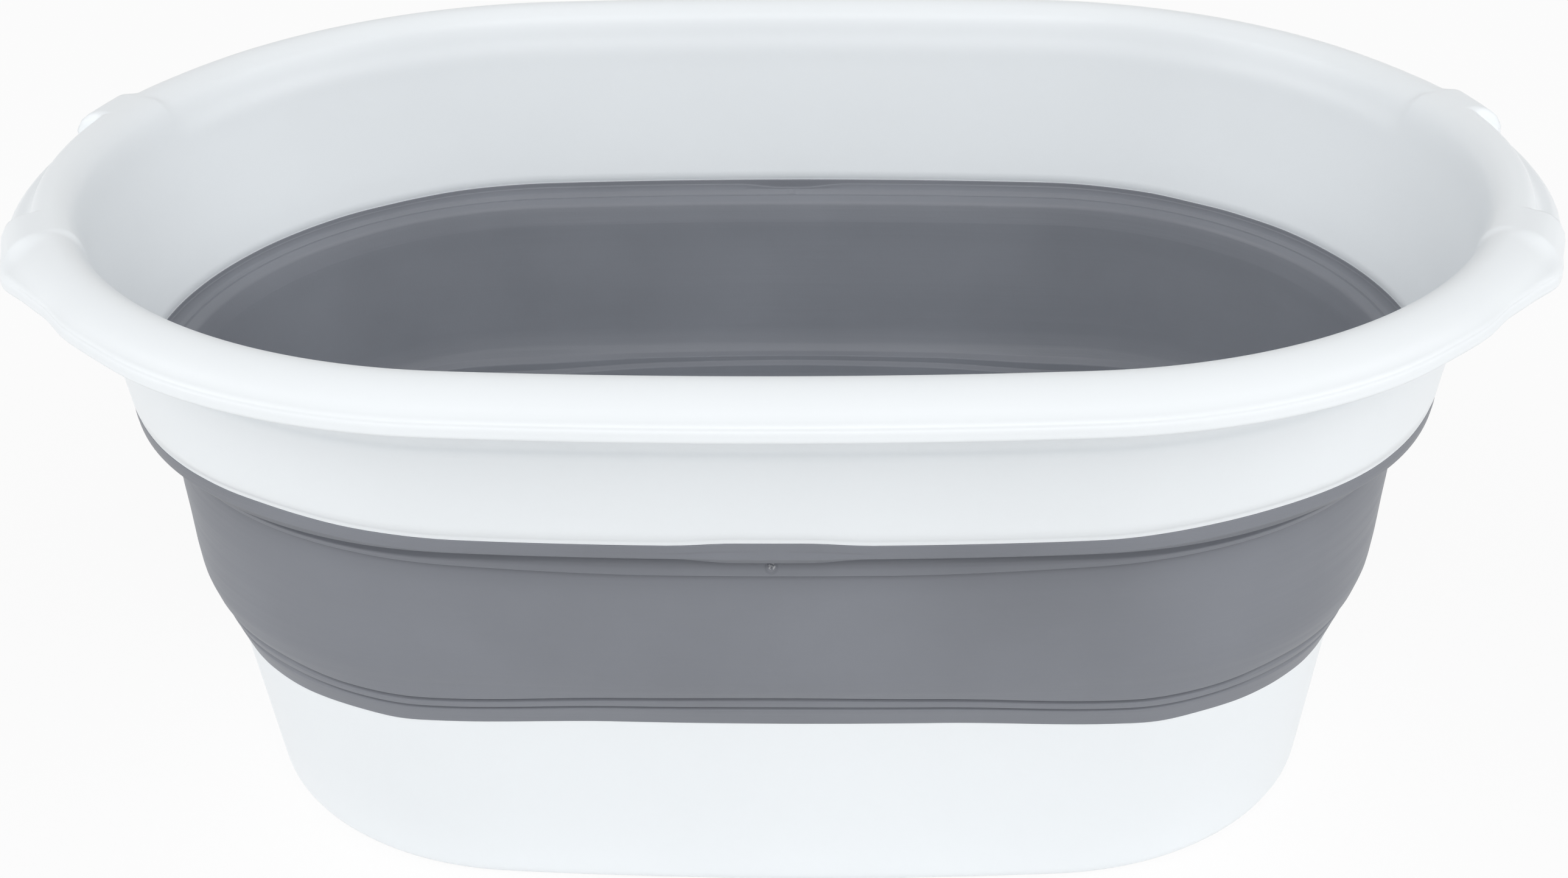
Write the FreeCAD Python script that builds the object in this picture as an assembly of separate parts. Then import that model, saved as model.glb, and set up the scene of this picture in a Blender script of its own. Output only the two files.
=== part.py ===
import FreeCAD, Part
import math
import os

os.makedirs("parts", exist_ok=True)

# Expanded tub: overall size over the flange lips, and height of the rim's crest above the floor
overall_length = 590.0
overall_width = 398.0
crest_height = 255.4

# Oval outline: bowed sides and bowed ends joined by corner arcs. Angles are turns of the outline's normal
side_turn_deg = 4.0
end_turn_deg = 18.5
handle_reach_deg = 50.0
floor_end_flat = 4.5
base_end_flat = 31.8
seam_end_flat = 4.8
crest_end_flat = -2.5

# Rim frame: hard white moulding with a rolled flange
rim_wall = 2.4
flange_reach = 17.0
flange_drop = 14.6
seam_height = 178.4
seam_inset = 21.2

# Carrying handle at each end: a raised bar between two ears that spread the flange
handle_half_length = 50.0
ear_width = 16.0
bar_end_share = 0.9

# Soft grey wall: bonded at both seams, with a fold crease above the base and one below the shoulder
soft_wall = 2.8
soft_proud = 0.2
shoulder_step = 13.0
split_gap = 0.3

# Base tub: hard white moulding that stands on a foot ring
base_wall = 2.6
base_seam_height = 81.5
base_seam_inset = 52.2
foot_inset = 65.3
foot_width = 9.0
foot_lift = 1.2
foot_radius = 5.2
floor_thickness = 3.0

# Tongues of the hard mouldings that the soft wall is moulded round
tongue_thickness = 0.8
tongue_height = 3.6
tongue_clearance = 0.1
base_tongue_lean = 1.2

# Rim section from the inner wall over the crest to the lip's foot, as shares of flange reach and flange drop
flange_shares = [(-0.74, 1.19), (-0.65, 0.85), (-0.59, 0.575), (-0.51, 0.30), (-0.365, 0.115), (-0.18, 0.025),
                 (0.0, 0.0), (0.21, 0.045), (0.45, 0.165), (0.68, 0.34), (0.87, 0.515), (0.97, 0.63),
                 (1.0, 0.70), (0.985, 0.84), (1.0, 1.0)]
ear_shares = [(-0.74, 1.19), (-0.69, 0.85), (-0.635, 0.56), (-0.54, 0.27), (-0.39, 0.075), (-0.15, -0.015),
              (0.14, -0.015), (0.435, 0.005), (0.68, 0.08), (0.86, 0.22), (0.98, 0.40), (1.06, 0.61),
              (1.11, 0.755), (1.12, 0.86), (1.13, 1.0)]
bar_shares = [(-0.74, 1.19), (-0.69, 0.85), (-0.635, 0.56), (-0.54, 0.27), (-0.39, 0.075), (-0.18, -0.02),
              (0.035, -0.03), (0.225, 0.03), (0.345, 0.16), (0.405, 0.355), (0.48, 0.57), (0.60, 0.655),
              (0.79, 0.70), (0.91, 0.81), (1.0, 1.0)]
# Where each row of the ear ends beyond the ear's width, over how much length it ends there, over how much length
# it meets the bar, all as shares of ear width, and whether the hollow underside follows the row, as 1 or 0
ear_end_shares = [(0.0, 0.1, 0.1, 1), (0.0, 0.1, 0.1, 1), (0.0, 0.1, 0.1, 1), (0.0, 0.1, 0.1, 1),
                  (0.0, 0.1, 0.1, 1), (0.0, 0.1, 0.1, 1), (0.1, 0.11, 0.1, 1), (0.31, 0.13, 0.1, 1),
                  (0.47, 0.16, 0.1, 1), (0.59, 0.19, 0.11, 1), (0.72, 0.25, 0.12, 1), (0.875, 0.375, 0.14, 0),
                  (1.25, 0.75, 0.24, 1), (1.63, 0.94, 0.28, 0), (1.81, 1.0, 0.32, 1)]

# Outer face of the soft wall. Its band and beads are shares of the step between base seam and shoulder, its
# shoulder and lip are shares of the shoulder's step, and all their heights are shares of the height between the
# seams. The last value is 1 where the inner face follows the point, and 0 where it passes it by
lower_lip_shares = [(0.985, 0.0, 1), (0.846, 0.08, 1), (0.879, 0.094, 0), (0.736, 0.1125, 0), (0.681, 0.143, 0),
                    (0.692, 0.16, 1)]
fold_shares = [(0.692, 0.16, 1), (0.56, 0.1785, 1), (0.429, 0.222, 1), (0.313, 0.289, 1), (0.247, 0.387, 1),
               (0.176, 0.53, 1), (0.088, 0.676, 1), (0.044, 0.79, 0), (0.077, 0.81, 1)]
bead_shares = [(0.077, 0.81, 1), (-0.011, 0.8235, 0), (-0.022, 0.851, 0), (0.011, 0.866, 1), (-0.022, 0.907, 1)]
shoulder_shares = [(0.815, 0.924, 1), (0.123, 0.942, 0), (0.038, 0.955, 1), (0.0, 1.0, 1)]

# Counts of points along the curves of an ear
bar_end_points = 14
ear_points = 90

side_turn = math.radians(side_turn_deg)
end_turn = math.radians(end_turn_deg)
handle_reach = math.radians(handle_reach_deg)
crest_half_length = overall_length / 2 - flange_reach
crest_half_width = overall_width / 2 - flange_reach


def mixed(first, second, share):
    return first + (second - first) * share


def smooth_share(value, low, high):
    """Share from 0 at low to 1 at high, easing in and out."""
    share = min(max((value - low) / (high - low), 0.0), 1.0)
    return share * share * (3 - 2 * share)


def end_flat_at(height):
    """How much flatter than a half circle the tub's ends are at a height."""
    stations = [(0.0, floor_end_flat), (base_seam_height, base_end_flat),
                (seam_height, seam_end_flat), (crest_height, crest_end_flat)]
    for (low, low_flat), (high, high_flat) in zip(stations, stations[1:]):
        if height <= high:
            return mixed(low_flat, high_flat, max(height - low, 0.0) / (high - low))
    return crest_end_flat


def oval_arcs(inset, height):
    """Centre and radius of the corner, end and side arcs of the oval that lies inside the crest line."""
    half_length = crest_half_length - inset
    half_width = crest_half_width - inset
    flat = end_flat_at(height)
    corner = half_width - flat
    side_lean = math.tan(side_turn / 2)
    end_lean = math.tan(end_turn / 2)
    centre_x = (half_length - corner - flat * end_lean) / (1 - side_lean * end_lean)
    centre_y = flat - centre_x * side_lean
    end_radius = corner + centre_y / math.sin(end_turn)
    side_radius = corner + centre_x / math.sin(side_turn)
    return {"corner": (centre_x, centre_y, corner),
            "end": (half_length - end_radius, 0.0, end_radius),
            "side": (0.0, half_width - side_radius, side_radius)}


crest_arcs = oval_arcs(0.0, crest_height)


def crest_offset(angle):
    """Distance of the crest line from the tub's long axis where its normal has this angle."""
    slope = math.asin(abs(math.sin(angle)))
    _, centre_y, radius = crest_arcs["end"] if slope < end_turn else crest_arcs["corner"]
    return centre_y + radius * math.sin(slope)


def bar_turn():
    """Turn of the normal up to which the handle's bar keeps one section."""
    blend_share = max(bar_blend for _, _, bar_blend, _ in ear_end_shares)
    reach_share = max(reach for reach, _ in ear_shares)
    widest = crest_arcs["end"][2] + reach_share * flange_reach
    return min(math.asin((handle_half_length - blend_share * ear_width) / widest), end_turn * bar_end_share)


def spans():
    """Stretches of the oval, counter-clockwise: start angle, end angle, arc name, signs, points on an ear."""
    bar_end = bar_turn()
    quarter = [(bar_end, end_turn, "end", bar_end_points), (end_turn, handle_reach, "corner", ear_points),
               (handle_reach, math.pi / 2 - side_turn, "corner", 0)]
    stretches = [(-bar_end, bar_end, "end", 1, 1, 0)]
    for start, end, arc, points in quarter:
        stretches.append((start, end, arc, 1, 1, points))
    stretches.append((math.pi / 2 - side_turn, math.pi / 2 + side_turn, "side", 1, 1, 0))
    for start, end, arc, points in reversed(quarter):
        stretches.append((math.pi - end, math.pi - start, arc, -1, 1, points))
    stretches.append((math.pi - bar_end, math.pi + bar_end, "end", -1, 1, 0))
    for start, end, arc, points in quarter:
        stretches.append((math.pi + start, math.pi + end, arc, -1, -1, points))
    stretches.append((1.5 * math.pi - side_turn, 1.5 * math.pi + side_turn, "side", 1, -1, 0))
    for start, end, arc, points in reversed(quarter):
        stretches.append((2 * math.pi - end, 2 * math.pi - start, arc, 1, -1, points))
    return stretches


oval_spans = spans()


def row_edges(inset, oval_height, section):
    """Edges of one row round the tub. The section gives its reach past the oval and its height."""
    arcs = oval_arcs(inset, oval_height)
    edges = []
    for start, end, arc, sign_x, sign_y, points in oval_spans:
        centre_x, centre_y, radius = arcs[arc]
        centre = FreeCAD.Vector(sign_x * centre_x, sign_y * centre_y, 0)
        if points and section(start) != section(end):
            places = []
            for step in range(points + 1):
                angle = mixed(start, end, step / points)
                reach, height = section(angle)
                out = FreeCAD.Vector(math.cos(angle), math.sin(angle), 0) * (radius + reach)
                places.append(centre + out + FreeCAD.Vector(0, 0, height))
            curve = Part.BSplineCurve()
            curve.interpolate(places)
        else:
            reach, height = section((start + end) / 2)
            middle = centre + FreeCAD.Vector(0, 0, height)
            circle = Part.Circle(middle, FreeCAD.Vector(0, 0, 1), radius + reach)
            curve = Part.ArcOfCircle(circle, start, end)
        edges.append(curve.toShape())
    return edges


def plain_row(inset, height, reach=0.0, oval_height=None):
    """A row of one reach and height all the way round."""
    shape_height = height if oval_height is None else oval_height
    return row_edges(inset, shape_height, lambda angle: (reach, height))


def share_a_level(first, second):
    """Whether two rows lie in one level plane."""
    digits = 3
    return len({round(vertex.Z, digits) for edge in first + second for vertex in edge.Vertexes}) == 1


def skin_faces(rows):
    """Flat faces between rows at one level, and ruled faces from each other row to the next."""
    faces = []
    for first, second in zip(rows, rows[1:]):
        if share_a_level(first, second):
            faces.append(Part.makeFace([Part.Wire(first), Part.Wire(second)], "Part::FaceMakerBullseye"))
            continue
        for first_edge, second_edge in zip(first, second):
            faces.append(Part.makeRuledSurface(first_edge, second_edge))
    return faces


def solid_of(faces):
    """Closed solid inside the faces."""
    compound = Part.Compound(faces)
    compound.sewShape()
    solid = Part.Solid(compound.Shells[0])
    if solid.Volume < 0:
        solid.reverse()
    return solid


def ring(rows):
    """Solid ring whose section runs through the rows and back to the first."""
    return solid_of(skin_faces(rows + rows[:1]))


def cup(rows):
    """Solid cup whose section runs through the rows, closed by a flat face at each end."""
    caps = [Part.Face(Part.Wire(rows[0])), Part.Face(Part.Wire(rows[-1]))]
    return solid_of(skin_faces(rows) + caps)


def offset_section(points, thickness):
    """Section moved to the left of its direction by a thickness. Its ends stay level."""
    moved = []
    for index, (across, height) in enumerate(points):
        if index in (0, len(points) - 1):
            moved.append((across - thickness, height))
            continue
        before = points[index - 1]
        after = points[index + 1]
        first = math.atan2(height - before[1], across - before[0])
        second = math.atan2(after[1] - height, after[0] - across)
        turn = (first + second) / 2
        length = thickness / math.cos((second - first) / 2)
        moved.append((across - length * math.sin(turn), height + length * math.cos(turn)))
    return moved


def tongue_rows(inset, height, wall, tip, lean, clearance):
    """Rows of a tongue, or of the groove round it, from a wall's outer face to its inner face."""
    middle = -wall / 2
    half = tongue_thickness / 2 + clearance
    tip_height = height + math.copysign(tongue_height + clearance, tip)
    return [plain_row(inset, height, middle + half), plain_row(inset, tip_height, middle + lean + half, height),
            plain_row(inset, tip_height, middle + lean - half, height), plain_row(inset, height, middle - half)]


# Rim frame


def rim_points(shares):
    """Reach and height of the rim's upper skin, from the inner face of the seam to the lip's foot."""
    points = [(-seam_inset - rim_wall, seam_height)]
    for reach_share, drop_share in shares:
        points.append((reach_share * flange_reach, crest_height - drop_share * flange_drop))
    return points


def underside_rows():
    """Places in the rim's section of the rows that the hollow underside follows."""
    return [row for row, shares in enumerate(ear_end_shares) if shares[-1]]


def rim_underside(shares):
    """Reach and height of the rim's hollow side, from the outer face of the seam to the lip's foot."""
    points = rim_points(shares)
    followed = [points[0]] + [points[row + 1] for row in underside_rows()]
    moved = offset_section(followed, -rim_wall)
    moved[-1] = (followed[-1][0] - rim_wall, followed[-1][1])
    return moved


def handle_row(row, flange_point, ear_point, bar_point):
    """One row of the rim that passes from flange to ear to bar and back."""
    end_place, end_blend, bar_blend = (share * ear_width for share in ear_end_shares[row][:-1])
    ear_end = handle_half_length + ear_width + end_place

    def section(angle):
        offset = crest_offset(angle) + ear_point[0] * abs(math.sin(angle))
        ear_share = 1 - smooth_share(offset, ear_end - end_blend, ear_end + end_blend)
        bar_share = 1 - smooth_share(offset, handle_half_length - bar_blend, handle_half_length + bar_blend)
        place = []
        for flange, ear, bar in zip(flange_point, ear_point, bar_point):
            place.append(mixed(mixed(flange, ear, ear_share), bar, bar_share))
        return tuple(place)

    return row_edges(0.0, crest_height, section)


def seam_row(reach):
    return plain_row(seam_inset, seam_height, reach)


def rim_frame():
    """Rolled rim, upper wall and both handles as one hard moulding."""
    upper = [rim_points(shares) for shares in (flange_shares, ear_shares, bar_shares)]
    under = [rim_underside(shares) for shares in (flange_shares, ear_shares, bar_shares)]
    rows = [seam_row(-rim_wall)]
    for row in range(len(flange_shares)):
        rows.append(handle_row(row, *(points[row + 1] for points in upper)))
    for index, row in reversed(list(enumerate(underside_rows()))):
        rows.append(handle_row(row, *(points[index + 1] for points in under)))
    rows.append(seam_row(0.0))
    rows += tongue_rows(seam_inset, seam_height, rim_wall, -1, 0.0, 0.0)
    return ring(rows)


# Soft wall

soft_height = seam_height - base_seam_height
lip_inset = seam_inset - soft_proud
shoulder_inset = lip_inset + shoulder_step
band_step = base_seam_inset - shoulder_inset


def soft_points(shares, start_inset, step):
    """Inset and height of points on the soft wall's outer face, and whether its inner face follows them."""
    points = []
    for step_share, height_share, follows in shares:
        points.append((start_inset + step_share * step, base_seam_height + height_share * soft_height, follows))
    return points


def soft_rows(outer, outer_end, inner_end):
    """Rows of a stretch of the soft wall, up its outer face, down its inner face and round its ends."""
    followed = [(inset, height) for inset, height, follows in outer if follows]
    inner = offset_section([(-inset, height) for inset, height in followed], soft_wall)
    rows = [plain_row(inset, height) for inset, height, _ in outer]
    rows += outer_end
    for (inset, outer_height), (across, height) in reversed(list(zip(followed, inner))):
        rows.append(plain_row(inset, height, across + inset, outer_height))
    return rows + inner_end


def lower_wall_lip():
    """Soft lip on the base's seam with the bead under the lower fold crease."""
    outer = soft_points(lower_lip_shares, shoulder_inset, band_step)
    groove = tongue_rows(base_seam_inset, base_seam_height, base_wall, 1, base_tongue_lean, tongue_clearance)
    return ring(soft_rows(outer, [], groove[::-1]))


def folding_wall():
    """Soft band between the two fold creases, which turns inside out when the tub is pushed flat."""
    outer = soft_points(fold_shares, shoulder_inset, band_step)
    top_inset, top_height, follows = outer[-1]
    outer[-1] = (top_inset, top_height - split_gap, follows)
    return ring(soft_rows(outer, [], []))


def upper_wall_lip():
    """Soft lip on the rim's seam with the shoulder and the bead above the upper fold crease."""
    outer = soft_points(bead_shares, shoulder_inset, band_step)
    outer += soft_points(shoulder_shares, lip_inset, shoulder_step)
    groove = tongue_rows(seam_inset, seam_height, rim_wall, -1, 0.0, tongue_clearance)
    return ring(soft_rows(outer, groove, []))


# Base tub


def rounding_rows(inset, height, radius):
    """Rows of a quarter round from a level face up to an upright one, as insets and heights."""
    turns = (0.0, math.pi / 6, math.pi / 3, math.pi / 2)
    rows = []
    for turn in turns:
        rows.append((inset - radius * math.sin(turn), height + radius * (1 - math.cos(turn))))
    return rows


def base_tub():
    """Floor, foot ring and tapered wall as one hard moulding."""
    floor_top = foot_lift + floor_thickness
    inner_foot = foot_inset + base_wall
    rows = [plain_row(foot_inset + foot_width + foot_lift, foot_lift), plain_row(foot_inset + foot_width, 0.0)]
    for inset, height in rounding_rows(foot_inset, 0.0, foot_radius):
        rows.append(plain_row(inset, height))
    rows.append(plain_row(base_seam_inset, base_seam_height))
    rows += tongue_rows(base_seam_inset, base_seam_height, base_wall, 1, base_tongue_lean, 0.0)
    rows.append(plain_row(base_seam_inset, base_seam_height, -base_wall))
    for inset, height in reversed(rounding_rows(inner_foot, floor_top, foot_radius)):
        rows.append(plain_row(inset, height))
    return cup(rows)


for node in (base_tub, lower_wall_lip, folding_wall, upper_wall_lip, rim_frame):
    node().exportStep("parts/" + node.__name__ + ".step")
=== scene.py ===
import math

import bpy
import numpy as np
from bpy.props import FloatProperty, FloatVectorProperty, IntProperty, PointerProperty
from bpy.types import Operator, Panel, PropertyGroup
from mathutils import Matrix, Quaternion, Vector


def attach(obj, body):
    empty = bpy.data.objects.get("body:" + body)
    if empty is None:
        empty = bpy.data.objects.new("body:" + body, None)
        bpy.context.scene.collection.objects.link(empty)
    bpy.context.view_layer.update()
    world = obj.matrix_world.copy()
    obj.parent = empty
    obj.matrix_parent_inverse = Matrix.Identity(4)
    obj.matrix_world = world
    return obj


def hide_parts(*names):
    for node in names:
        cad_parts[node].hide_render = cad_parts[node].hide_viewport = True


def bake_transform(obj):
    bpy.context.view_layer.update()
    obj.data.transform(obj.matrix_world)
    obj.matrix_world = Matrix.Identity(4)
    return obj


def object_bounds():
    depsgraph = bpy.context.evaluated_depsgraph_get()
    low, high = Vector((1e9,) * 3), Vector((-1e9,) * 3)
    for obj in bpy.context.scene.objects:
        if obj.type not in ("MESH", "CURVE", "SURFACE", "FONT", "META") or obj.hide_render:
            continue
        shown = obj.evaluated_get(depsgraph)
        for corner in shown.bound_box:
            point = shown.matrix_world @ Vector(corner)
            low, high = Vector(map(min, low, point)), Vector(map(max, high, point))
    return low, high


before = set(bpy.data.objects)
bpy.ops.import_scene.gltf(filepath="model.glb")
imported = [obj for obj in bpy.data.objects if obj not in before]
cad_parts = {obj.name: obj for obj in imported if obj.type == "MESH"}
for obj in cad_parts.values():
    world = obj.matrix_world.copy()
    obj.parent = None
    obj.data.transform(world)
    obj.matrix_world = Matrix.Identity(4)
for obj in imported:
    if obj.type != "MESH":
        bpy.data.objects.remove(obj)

bl_info = {
    "name": "Folding wash tub",
    "version": (1, 0, 0),
    "blender": (4, 5, 0),
    "location": "3D View > Sidebar > Wash tub",
    "description": "Builds an oval folding wash tub round its packed frame",
    "category": "Add Mesh",
}

MM = 0.001
cad_low, cad_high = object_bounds()

# Rim section from the inner wall over the crest to the lip's foot: reach past the crest line and drop below the
# crest, in millimetres. The same rows run round the tub as flange, ear and handle bar
FLANGE_ROWS = [(-12.58, 17.4), (-11.05, 12.4), (-9.95, 8.5), (-8.4, 4.7), (-5.7, 1.95), (-2.8, 0.45), (0.0, 0.0),
               (3.55, 0.65), (7.6, 2.4), (11.2, 4.75), (13.4, 6.6), (14.6, 7.5), (15.65, 8.15), (16.4, 9.0),
               (16.5, 9.85), (16.82, 10.6), (16.9, 12.4), (16.87, 14.0), (16.4, 14.6)]
EAR_ROWS = [(-12.58, 17.4), (-11.75, 12.4), (-10.8, 8.2), (-9.2, 3.95), (-6.65, 1.1), (-2.55, -0.2), (2.4, -0.22),
            (7.4, 0.05), (11.55, 1.15), (14.6, 3.2), (15.9, 4.6), (16.9, 6.2), (17.6, 7.7), (18.1, 9.0),
            (18.35, 9.9), (18.8, 10.7), (19.0, 12.5), (19.1, 14.0), (18.6, 14.6)]
BAR_ROWS = [(-12.58, 17.4), (-11.75, 12.4), (-10.8, 8.2), (-9.2, 3.95), (-6.65, 1.1), (-3.05, -0.3), (0.6, -0.32),
            (3.8, 0.4), (5.85, 2.3), (6.8, 5.2), (7.35, 7.1), (8.2, 8.4), (9.4, 9.2), (10.9, 9.65),
            (12.4, 9.95), (13.9, 10.4), (15.7, 12.0), (16.9, 14.0), (16.4, 14.6)]
# Where each of these rows leaves the ear, and how far to both sides of the bar's end it steps up to the ear:
# distances from the long axis, in millimetres
EAR_ENDS = [(62, 84), (64, 77), (64.5, 73), (64.5, 70), (64.5, 68.5), (64.5, 68), (66, 70), (69, 75),
            (71.2, 79), (72.5, 82), (73.2, 84), (74, 87), (75, 90), (76, 95), (77, 100), (78, 104), (78, 108),
            (78, 111), (78, 112)]
BAR_STEPS = [1.6, 1.6, 1.6, 1.6, 1.4, 1.2, 1.2, 1.2, 1.2, 1.2, 1.3, 1.4, 1.6, 2.0, 2.6, 3.4, 4.2, 5.0, 5.2]
# How much each of these rows follows the lip, which swings out at an ear and dips in beyond it
LIP_SHARES = [0.0] * 8 + [0.15, 0.3, 0.45, 0.6, 0.75, 0.85, 0.95, 1.0, 1.0, 1.0, 1.0]
# Rows that the hollow underside follows
UNDERSIDE_ROWS = [0, 1, 2, 3, 4, 5, 6, 7, 8, 9, 11, 15, 18]

# Rim section from the flange's underside down the outer wall and round the tongue: reach, height and rounding
RIM_OUTSIDE = [(-12.02, 228.0, 0.0), (-13.6, 219.9, 0.0), (-13.2, 219.5, 0.0), (-20.25, 181.8, 0.0),
               (-20.62, 181.5, 0.0), (-21.0, 179.4, 0.25), (-22.0, 179.1, 0.0), (-22.0, 174.8, 0.0),
               (-22.8, 174.8, 0.0), (-22.8, 178.7, 0.0), (-23.6, 178.4, 0.25), (-23.5, 178.9, 0.0)]
# Its inner wall from the seam up to the flange, the end of the underside and the width of the lip's foot
RIM_INSIDE = [(-23.6, 179.0), (-19.6, 200.0), (-15.9, 220.0), (-14.05, 230.0)]
UNDERSIDE_END = (-11.65, 230.0)
LIP_FOOT = 1.3
# Pieces of the smooth line from row to row: up the inner wall, over the flange, along the underside and at its end
INSIDE_PIECES = [6, 6, 4, 4]
FLANGE_PIECES = 3
UNDERSIDE_PIECES = 2
UNDERSIDE_END_PIECES = 3
# A point in the middle of the rim's wall at the seam, and how far the wall leans out for each millimetre of height
SEAM_MIDDLE = (-22.4, 178.4)
RIM_LEAN = 0.185

# Soft wall section: reach past the crest line, height and rounding, in millimetres
SOFT_OUTER = [(-51.95, 81.5, 0.4), (-48.1, 89.9, 0.7), (-49.7, 91.2, 0.3), (-47.0, 92.1, 0.8), (-46.0, 94.7, 0.9),
              (-47.9, 96.2, 0.3), (-44.6, 97.5, 1.6), (-42.5, 102.2, 9.0), (-39.8, 109.5, 20.0),
              (-38.5, 119.0, 40.0), (-37.2, 133.0, 60.0), (-35.7, 146.0, 40.0), (-35.9, 156.9, 4.0),
              (-36.9, 159.2, 0.6), (-32.9, 160.9, 1.0), (-32.2, 164.0, 1.5), (-34.2, 166.4, 0.9),
              (-33.8, 169.4, 0.9), (-31.8, 171.4, 1.2), (-23.2, 172.6, 1.5), (-21.6, 173.8, 1.2),
              (-21.05, 176.4, 0.8), (-20.85, 179.4, 0.3)]
SOFT_TOP_GROOVE = [(-21.9, 179.1, 0.0), (-21.9, 174.7, 0.0), (-22.9, 174.7, 0.0), (-22.9, 178.7, 0.0)]
SOFT_INNER = [(-23.8, 178.4, 0.3), (-24.1, 176.4, 0.8), (-28.3, 175.5, 0.8), (-30.0, 173.3, 0.5), (-31.4, 173.6, 0.8),
              (-35.0, 172.2, 5.0), (-37.3, 163.0, 12.0), (-37.8, 154.0, 30.0), (-38.6, 146.0, 60.0),
              (-40.0, 133.4, 60.0), (-41.3, 119.6, 40.0), (-42.4, 110.7, 20.0), (-44.3, 105.0, 8.0),
              (-46.4, 101.4, 1.2), (-49.0, 99.9, 0.9), (-49.2, 97.0, 0.8), (-51.4, 95.7, 0.9), (-51.7, 92.2, 1.5),
              (-54.6, 81.5, 0.3)]
SOFT_BASE_GROOVE = [(-54.0, 81.5, 0.0), (-52.8, 85.2, 0.0), (-51.8, 85.2, 0.0), (-53.0, 81.5, 0.0)]

# Base tub section: up its outer wall, over the tongue and down its inner wall to the floor
BASE_OUTSIDE = [(-75.6, 1.2, 0.6), (-74.3, 0.0, 0.6), (-60.6, 0.0, 5.6), (-52.2, 81.5, 0.25)]
BASE_TONGUE = [(-53.1, 81.5, 0.0), (-51.9, 85.1, 0.0), (-52.7, 85.1, 0.0), (-53.9, 81.5, 0.0)]
BASE_INSIDE = [(-54.8, 81.5, 0.25), (-63.3, 4.2, 6.0), (-80.0, 4.2, 0.0)]

# Stretches of a quarter turn of the outline's normal: start and end in degrees and steps, short at ears and gates
PLAIN_STRETCHES = [(0.0, 18.5, 14), (18.5, 86.0, 46), (86.0, 89.84, 24), (89.84, 90.0, 14)]
HANDLE_STRETCHES = [(0.0, 14.0, 14), (14.0, 20.0, 27), (20.0, 22.0, 5), (22.0, 28.0, 25), (28.0, 41.0, 18),
                    (41.0, 86.0, 30), (86.0, 90.0, 22)]
# Longest step along a section, and bands of heights on the soft wall that have a shorter one, in millimetres
HARD_STEP = 4.0
SOFT_STEP = 2.6
SOFT_FINE = [(160.8, 167.2, 0.36), (172.6, 177.5, 0.6)]
# Largest turn from point to point in a rounding, largest share of a side that it takes up, and shortest span of a row
BEND_STEP = math.radians(16.0)
ROUNDED_SHARE = 0.48
SHORTEST_SPAN = 1e-6
# Rings of faces from the middle of the floor to the foot ring
FLOOR_STEPS = 9

# Moulded lines that wander from their mean heights, in millimetres: the inset of the outline on which places along the
# long axis are measured, the lift in the middle, steps between two places, humps with a middle and a width, and the
# band of heights in which the line eases in, is full, fades and ends
CREASE = {"inset": 47.0, "lift": -0.35, "steps": [], "humps": [(1.1, 0.0, 55.0)], "band": (86.0, 97.0, 97.5, 103.0)}
BEAD = {"inset": 34.0, "lift": -1.3, "steps": [(3.2, 40.0, 170.0), (-1.2, 200.0, 240.0)], "humps": [],
        "band": (148.0, 159.0, 161.0, 166.0)}
LOWER_SEAM = {"inset": 52.2, "lift": 0.9, "steps": [(-2.4, 60.0, 128.0), (1.5, 135.0, 170.0)], "humps": [],
              "band": (55.0, 79.0, 97.5, 104.0)}
UPPER_SEAM = {"inset": 21.0, "lift": 1.1, "steps": [(-1.1, 12.0, 36.0), (-0.4, 215.0, 240.0)],
              "humps": [(1.75, 172.0, 38.0)]}
# The upper seam starts at other heights inside than outside, and sinks inside, most at the ends
OUTER_SEAM_START = (171.0, 172.4)
INNER_SEAM_START = (173.5, 177.5)
UPPER_SEAM_FADE = (181.5, 190.0)
INNER_SEAM_DROP, INNER_SEAM_END_DROP = 0.6, 1.6
# At the ends, given by the cosine of the turn, the creases rise and reach out
CREASE_END_LIFT, CREASE_END_REACH, CREASE_END_COSINES = 2.5, 0.6, (0.38, 0.66)
# The upper lip hangs down at a gate, outside and inside
OUTER_DIP = {"inset": 22.0, "depth": 1.6, "places": (12.0, 36.0), "reaches": (-31.0, -24.0),
             "band": (171.0, 172.2, 173.6, 176.4)}
INNER_DIP = {"inset": 24.0, "depth": 1.7, "places": (6.0, 24.0), "reaches": (-28.0, -25.0),
             "band": (174.5, 175.5, 176.5, 178.2)}
# The flange's lip swings out at an ear and dips in beyond it: distances from the long axis
LIP_OUT, LIP_OUT_END = 1.3, (84.0, 103.0)
LIP_SWELL, LIP_SWELL_HUMP = 2.6, (82.0, 13.0)
LIP_DIPS = [(2.6, (114.0, 12.0)), (1.7, (140.0, 16.0))]
# An ear leaves its full form quickly and comes back to the flange slowly
EAR_POWER = 0.72
# Heights over which the wave of the seams sets in or fades, and the band of the soft wall's billow
BASE_SWAY = (60.0, 80.0)
SOFT_LOW_SWAY = (83.0, 89.0)
SOFT_HIGH_SWAY = (175.0, 178.0)
RIM_SWAY = (180.0, 190.0)
BILLOW_BAND = (100.0, 118.0, 150.0, 160.0)

# Middle of a moulding gate on the soft wall, in metres
GATE_PLACE = (0.0, 0.1497, 0.1641)
GATE_INSET = 33.5
# Outside the gate leaves a broken stub in a ring, in millimetres
MARK_RADIUS = 4.0
STUB_ALONG, STUB_HEIGHT = -0.25, 164.45
STUB_HALF_LENGTH, STUB_HALF_HEIGHT, STUB_EDGE = 1.15, 0.8, (0.55, 1.0)
STUB_REACH, STUB_LEAN = 1.2, 0.12
STUB_CRUMB, STUB_CRUMB_TURN, STUB_CRUMB_START = 0.45, 3.1, 0.6
RING_DEPTH, RING_HUMP = 0.42, (1.75, 0.38)
RING_EDGE, RING_EDGE_HUMP = 0.1, (2.35, 0.3)
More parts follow.
